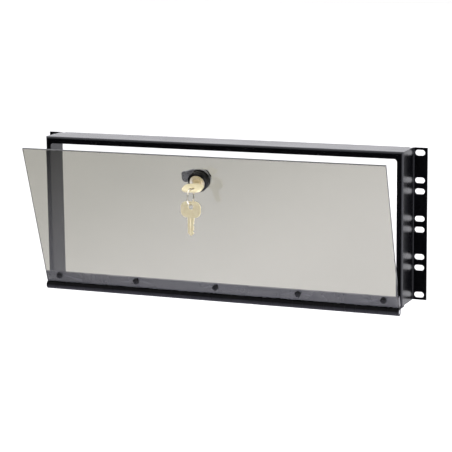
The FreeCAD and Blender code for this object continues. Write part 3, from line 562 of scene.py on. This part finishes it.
# thread: radius falls from crest to root as a clipped triangle wave of height over pitch, less the angle's
# share of a turn, and never passes the flats, whose radius is half the width across them over the sine
def makeLockBody():
    lock = lockSet
    front = -lock["bezelHeight"]
    halfGroove = lock["faceGroove"] / 2
    head = roundedRun(
        [(lock["bore"], front + lock["boreRim"]),
         (lock["bore"], front),
         (lock["face"] - halfGroove, front),
         (lock["face"], front + lock["faceGroove"]),
         (lock["face"] + halfGroove, front),
         (lock["bezel"] - lock["bezelChamfer"], front),
         (lock["bezel"], front + lock["bezelChamfer"]),
         (lock["bezel"], 0.0),
         (lock["barrel"], 0.0)],
        [lock["boreRound"]] + [lock["grooveRound"]] * 3 + [lock["bezelRound"]] * 2 + [lock["seatRound"]])
    angle = np.linspace(0, 2 * np.pi, lock["turns"], endpoint=False)[None, :]
    sine = np.maximum(np.abs(np.sin(angle)), tiny)
    cosine = np.maximum(np.abs(np.cos(angle)), tiny)
    height = np.linspace(0.0, lock["barrelLength"], lock["threadRows"])[:, None]
    wave = 1 - np.abs(((height / lock["threadPitch"] - angle / (2 * np.pi)) % 1.0) * 2 - 1)
    cut = np.clip(lock["threadSlope"] * wave - lock["threadCrest"], 0, 1)
    cut = cut * easeStep(height, 0.0, lock["threadStart"])
    end = lock["barrel"] - np.maximum(height - (lock["barrelLength"] - lock["endChamfer"]), 0.0)
    flats = lock["barrelFlat"] / sine
    barrel = np.minimum(np.minimum(lock["barrel"] - lock["threadDepth"] * cut, end), flats)
    # the bore is widened for the wafers from its inner end up to a step
    wide = np.maximum(lock["bore"], np.minimum(lock["waferReach"] / cosine, lock["waferRise"] / sine))
    plain = np.full_like(angle, lock["bore"])
    boreHeight = [lock["barrelLength"], lock["waferStart"] + lock["waferStep"], lock["waferStart"]]
    radius = np.concatenate([np.repeat(head[:, :1], lock["turns"], axis=1), barrel, wide, wide, plain])
    along = np.concatenate([head[:, 1:], height, np.array(boreHeight)[:, None]])
    along = np.repeat(along, lock["turns"], axis=1)
    turned = np.stack([radius * np.cos(angle), along, radius * np.sin(angle)], axis=-1)
    grids = [(turned, True, True), (lugGrid(), False, True)]
    addPiece("lockBody", "lock_body", grids, lockOrigin, panelFrame, lock["sharpAngle"])


# lug: a rounded oblong section stacked along the axis, closed to a point at both ends
def lugGrid():
    lock = lockSet
    middle = (lock["lugInner"] + lock["lugOuter"]) / 2
    reach = (lock["lugOuter"] - lock["lugInner"]) / 2
    around = np.linspace(0, 2 * np.pi, lock["lugColumns"], endpoint=False)
    across, up = squaredCircle(around, lock["lugSquare"])
    foot = lock["barrelLength"] - lock["lugSunk"]
    top = lock["barrelLength"] + lock["lugHeight"]
    levels = np.array([foot, foot, top - lock["lugEdge"], top, top])[:, None]
    shrink = np.array([0.0, 1.0, 1.0, lock["lugTop"], 0.0])[:, None]
    level = np.repeat(levels, lock["lugColumns"], axis=1)
    return np.stack([middle + across * reach * shrink, level, up * lock["lugHalf"] * shrink], axis=-1)


# keys: a bow swept round its hole, and a blade whose section is carried from tip to neck
keySet = {
    "half": 1.0, "edge": 0.3, "hole": 3.2, "holeHeight": 15.3, "plugFront": 8.6,
    "bowHalf": (12.0, 9.25), "bowMiddle": 12.25, "bowCorner": 7.0, "bowMost": 30.0,
    "sunk": 0.22, "sunkRim": (1.5, 2.1), "sunkHole": (1.1, 1.6),
    "blade": 3.8, "bladeInset": 0.03, "tip": -18.0, "tipEnd": -14.8, "neck": 4.2,
    "cuts": ((-13.0, 1.6), (-9.4, 0.8), (-5.8, 1.4), (-2.2, 0.6)), "cutFloor": 0.75, "cutReach": 1.8,
    "mills": ((0.7, 0.85, 0.5), (-1.3, 0.6, 0.42)), "millEnd": (1.2, 3.0),
    "turns": 168, "halvings": 40, "faceRows": 22, "bowBends": 6,
    "bladeRows": 190, "bladeColumns": 34, "bladeBends": 5, "sharpAngle": 40.0,
}


# bow: from each angle the reach is the distance from the hole's middle to a rectangle with round corners,
# found by halving, and the section runs hole edge, sunk face, rim, other face and back through the hole
def bowGrid():
    key = keySet
    angle = np.linspace(0, 2 * np.pi, key["turns"], endpoint=False)
    way = np.stack([np.cos(angle), np.sin(angle)])
    start = np.array([0.0, key["holeHeight"] - key["bowMiddle"]])[:, None]
    inner = np.array(key["bowHalf"])[:, None] - key["bowCorner"]
    near = np.zeros_like(angle)
    far = np.full_like(angle, key["bowMost"])
    for halving in range(key["halvings"]):
        reach = (near + far) / 2
        off = np.abs(start + way * reach) - inner
        distance = np.linalg.norm(np.maximum(off, 0), axis=0) + np.minimum(off.max(axis=0), 0)
        inside = distance < key["bowCorner"]
        near = np.where(inside, reach, near)
        far = np.where(inside, far, reach)
    reach = reach[None, :]
    bend = np.linspace(0, np.pi / 2, key["bowBends"])[:, None]
    share = np.linspace(0, 1, key["faceRows"])[:, None]
    innerEdge = key["hole"] + key["edge"] * (1 - np.cos(bend)) + 0 * reach
    innerLift = key["half"] - key["edge"] * (1 - np.sin(bend)) + 0 * reach
    face = key["hole"] + key["edge"] + (reach - key["hole"] - 2 * key["edge"]) * share
    sunk = easeStep(reach - face, *key["sunkRim"]) * easeStep(face - key["hole"], *key["sunkHole"])
    faceLift = key["half"] - key["sunk"] * sunk
    outerEdge = reach - key["edge"] * (1 - np.cos(bend[::-1]))
    radius = np.concatenate([innerEdge, face, outerEdge])
    lift = np.concatenate([innerLift, faceLift, innerLift[::-1]])
    radius = np.concatenate([radius, radius[::-1]])
    lift = np.concatenate([lift, -lift[::-1]])
    return np.stack([radius * way[0], key["holeHeight"] + radius * way[1], lift], axis=-1)


# blade: its right edge is a line through the cuts' floors and peaks, and each face is flat less a milled
# groove, whose depth follows half an ellipse across its width
def bladeGrid():
    key = keySet
    along = np.linspace(key["tip"], key["neck"], key["bladeRows"])
    knots = [(key["tip"], 0.0), (key["tipEnd"], key["blade"])]
    for middle, depth in key["cuts"]:
        knots.append((middle - key["cutFloor"], key["blade"] - depth))
        knots.append((middle + key["cutFloor"], key["blade"] - depth))
        knots.append((middle + key["cutReach"], key["blade"]))
    knots = np.array(knots + [(key["neck"], key["blade"])])
    right = np.interp(along, knots[:, 0], knots[:, 1])[:, None]
    left = -np.interp(along, [key["tip"], key["tipEnd"]], [0.0, key["blade"]])[:, None]
    edge = np.minimum(key["edge"], (right - left) / 4)
    half = key["half"] - key["bladeInset"]
    bend = np.linspace(0, np.pi / 2, key["bladeBends"])[None, :]
    share = np.linspace(0, 1, key["bladeColumns"])[None, :]
    fade = 1 - easeStep(along, *key["millEnd"])[:, None]
    flat = left + edge + (right - left - 2 * edge) * share
    bevel = edge * (1 - np.sin(bend))
    drop = edge * (1 - np.cos(np.pi / 2 - bend))
    across = np.concatenate([left + bevel, flat, right - bevel[:, ::-1]], axis=1)
    lifts = []
    for place, width, depth in key["mills"]:
        groove = depth * np.sqrt(np.clip(1 - ((flat - place) / width) ** 2, 0, 1)) * fade
        lifts.append(np.concatenate([half - drop, half - groove, half - drop[:, ::-1]], axis=1))
    across = np.concatenate([across, across[:, ::-1]], axis=1)
    lift = np.concatenate([lifts[0], -lifts[1][:, ::-1]], axis=1)
    grid = np.stack([across, np.broadcast_to(along[:, None], across.shape), lift], axis=-1)
    end = np.broadcast_to(np.array([0.0, key["neck"], 0.0]), (1,) + grid.shape[1:])
    return np.concatenate([grid, end])


def makeKeys():
    grids = [(bowGrid(), True, True), (bladeGrid(), False, True)]
    # the lock's key points out of the panel, so it is turned half round about the panel's upright
    outwards = np.diag([-1.0, -1.0, 1.0]) @ panelFrame
    lockKeyPoint = lockOrigin - np.array(lockAxis) * (keySet["plugFront"] * millimetre)
    addPiece("lockKey", "lock_key", grids, lockKeyPoint, outwards, keySet["sharpAngle"])
    hanging = np.array([[1.0, 0, 0], [0, 0, 1.0], [0, -1.0, 0]])
    spareHole = np.array(joints["spare_key_swing"]["pos_m"])
    sparePoint = spareHole - [0, 0, keySet["holeHeight"] * millimetre]
    addPiece("spareKey", "spare_key", grids, sparePoint, hanging, keySet["sharpAngle"])


# split ring: a flat wire with round corners, carried twice round a circle and stepping sideways once
# between the turns
ringSet = {
    "radius": 9.2, "wireAcross": 0.38, "wireThick": 0.72, "square": 0.55,
    "step": 0.4, "gap": 0.2, "taper": 0.03,
    "rows": 260, "columns": 28, "sharpAngle": 60.0,
}


def makeRing():
    ring = ringSet
    turn = np.linspace(ring["gap"], 4 * np.pi - ring["gap"], ring["rows"])[:, None]
    around = np.linspace(0, 2 * np.pi, ring["columns"], endpoint=False)[None, :]
    across, thick = squaredCircle(around, ring["square"])
    # the wire's ends taper a little and close to a point
    rest = np.minimum(turn - turn[0], turn[-1] - turn)
    full = np.sqrt(np.clip(rest / ring["taper"], 0, 1))
    stepped = 2 * easeStep(turn, 2 * np.pi - ring["gap"], 2 * np.pi + ring["gap"]) - 1
    side = ring["step"] * stepped + across * ring["wireAcross"] * full
    radius = ring["radius"] + thick * ring["wireThick"] * full
    grid = np.stack([side, -radius * np.cos(turn), radius * np.sin(turn)], axis=-1)
    ringPoint = np.array(joints["ring_swing"]["pos_m"])
    addPiece("splitRing", "key_ring", [(grid, False, True)], ringPoint, np.eye(3), ring["sharpAngle"])


makeLockBody()
makeKeys()
makeRing()
print("new pieces made")

# studio: paper below the panel's lowest swing, greyed towards the left as painted shade, white behind the part and
# low in front of it, otherwise dark in front, and a soft light to the right
stageSet = {
    "floorDrop": 0.012,
    "floorReach": 9.0,
    # painted shade: the paper's left is coloured greyer, for light that falls off that way
    "paperShadedLeft": (0.8, 0.8, 0.8),
    "paperRight": (0.98, 0.97, 0.97),
    "paperShadeSpan": (-1.1, -0.3),
    "paperShader": {"Roughness": 0.9, "Specular IOR Level": 0.0},
    "backLight": 1.45,
    "backSpan": (-0.2, 0.3),
    "backTint": (0.985, 0.98, 1.02),
    "frontLight": 2.42,
    "lowSpan": (0.58, 0.7),
    "lowTint": (0.94, 0.94, 1.1),
    "sideLight": 2.9,
    "sideSpan": (0.62, 0.85),
    "fillLight": 0.004,
    "whiteTint": (1.0, 0.995, 1.0),
    "sunPower": 2.12,
    "sunSpread": 80.0,
    "sunLean": (18.0, -12.0, 0.0),
}
halfBounce = 0.5  # bounces are whole numbers, so a half tells none from one


# the panel hangs straight down at its far limit, so its tip tells how low the floor lies
def floorHeight():
    low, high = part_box("panel")
    reach = (Vector((0.0, low.y, high.z)) - hingePoint).length
    return hingePoint.z - reach - stageSet["floorDrop"]


def splitNode(tree, place):
    return addNode(tree, "ShaderNodeSeparateXYZ", {"Vector": place}).outputs


# floor: one square at the floor's height, reaching equally far each way
def makeFloor():
    reach = stageSet["floorReach"]
    height = floorHeight()
    signs = ((-1, -1), (1, -1), (1, 1), (-1, 1))
    mesh = bpy.data.meshes.new("floor")
    mesh.from_pydata([(reach * right, reach * back, height) for right, back in signs], [], [(0, 1, 2, 3)])
    floor = bpy.data.objects.new("floor", mesh)
    scene.collection.objects.link(floor)
    material, tree, principled = newMaterial("floorPaper", stageSet["paperShader"])
    # painted shade: the paper greys from right to left, standing in for light that falls off to the left
    across = stepNode(tree, splitNode(tree, objectPlace(tree))["X"], *stageSet["paperShadeSpan"])
    paper = mixColour(tree, across, stageSet["paperShadedLeft"], stageSet["paperRight"])
    feed(tree, paper, principled.inputs["Base Color"])
    # glossy paint mirrors the studio and not the paper, also where the clear sheet stands between them
    path = tree.nodes.new("ShaderNodeLightPath").outputs
    clear = tree.nodes.new("ShaderNodeBsdfTransparent")
    choice = tree.nodes.new("ShaderNodeMixShader")
    mirrored = mathNode(tree, "GREATER_THAN", path["Glossy Depth"], halfBounce)
    sources = (mirrored, principled.outputs["BSDF"], clear.outputs["BSDF"])
    for source, socket in zip(sources, choice.inputs):
        feed(tree, source, socket)
    feed(tree, choice.outputs["Shader"], tree.nodes["Material Output"].inputs["Surface"])
    mesh.materials.append(material)
    floor.visible_glossy = False


def makeWorld():
    stage = stageSet
    world = bpy.data.worlds.new("studio")
    scene.world = world
    world.use_nodes = True
    tree = world.node_tree
    way = splitNode(tree, tree.nodes.new("ShaderNodeTexCoord").outputs["Generated"])
    behind = stepNode(tree, way["Y"], *stage["backSpan"])
    below = stepNode(tree, mathNode(tree, "MULTIPLY", way["Z"], -1.0), *stage["lowSpan"])
    beside = stepNode(tree, way["X"], *stage["sideSpan"])
    # the brightest of the three lights counts
    backLit = mathNode(tree, "MULTIPLY", behind, stage["backLight"])
    lowLit = mathNode(tree, "MULTIPLY", below, stage["frontLight"])
    sideLit = mathNode(tree, "MULTIPLY", beside, stage["sideLight"])
    lit = mathNode(tree, "MAXIMUM", mathNode(tree, "MAXIMUM", backLit, lowLit), sideLit)
    lit = mathNode(tree, "ADD", lit, stage["fillLight"])
    # what is seen straight, or only through the clear sheet, is plain white
    path = tree.nodes.new("ShaderNodeLightPath").outputs
    bounces = mathNode(tree, "ADD", path["Glossy Depth"], path["Diffuse Depth"])
    straight = mathNode(tree, "LESS_THAN", bounces, halfBounce)
    through = mathNode(tree, "MULTIPLY", path["Is Transmission Ray"], straight)
    seen = mathNode(tree, "MAXIMUM", path["Is Camera Ray"], through)
    studio = mathNode(tree, "MULTIPLY", lit, mathNode(tree, "SUBTRACT", 1.0, seen))
    strength = mathNode(tree, "ADD", studio, seen)
    tint = mixColour(tree, below, stage["backTint"], stage["lowTint"])
    colour = mixColour(tree, seen, tint, stage["whiteTint"])
    feedAll(tree, {"Color": colour, "Strength": strength}, tree.nodes["Background"])


def makeSun():
    lamp = bpy.data.lights.new("overhead", "SUN")
    lamp.energy = stageSet["sunPower"]
    lamp.angle = math.radians(stageSet["sunSpread"])
    sun = bpy.data.objects.new("overhead", lamp)
    sun.rotation_euler = [math.radians(turn) for turn in stageSet["sunLean"]]
    scene.collection.objects.link(sun)


# camera at the photograph's place, aimed at a point on the ears' plane
cameraSet = {
    "azimuth": 22.467,
    "elevation": 10.359,
    "roll": -0.63,
    "distance": 2.1269,
    "target": (-0.0078, 0.0, -0.0166),
    "lens": 141.4,
    "sensor": 36.0,
    "clipEnd": 50.0,
}


def makeCamera():
    turn, rise, roll = (math.radians(cameraSet[name]) for name in ("azimuth", "elevation", "roll"))
    away = Vector((math.sin(turn) * math.cos(rise), -math.cos(turn) * math.cos(rise), math.sin(rise)))
    level = (-away).cross(Vector((0, 0, 1))).normalized()
    up = level.cross(-away)
    right = level * math.cos(roll) + up * math.sin(roll)
    head = up * math.cos(roll) - level * math.sin(roll)
    lens = bpy.data.cameras.new("camera")
    lens.lens = cameraSet["lens"]
    lens.sensor_width = cameraSet["sensor"]
    lens.clip_end = cameraSet["clipEnd"]
    camera = bpy.data.objects.new("camera", lens)
    place = Vector(cameraSet["target"]) + away * cameraSet["distance"]
    camera.matrix_world = Matrix.Translation(place) @ Matrix((right, head, away)).transposed().to_4x4()
    scene.collection.objects.link(camera)
    scene.camera = camera


makeFloor()
makeWorld()
makeSun()
makeCamera()
scene.view_settings.view_transform = "Standard"
print("studio and camera set")
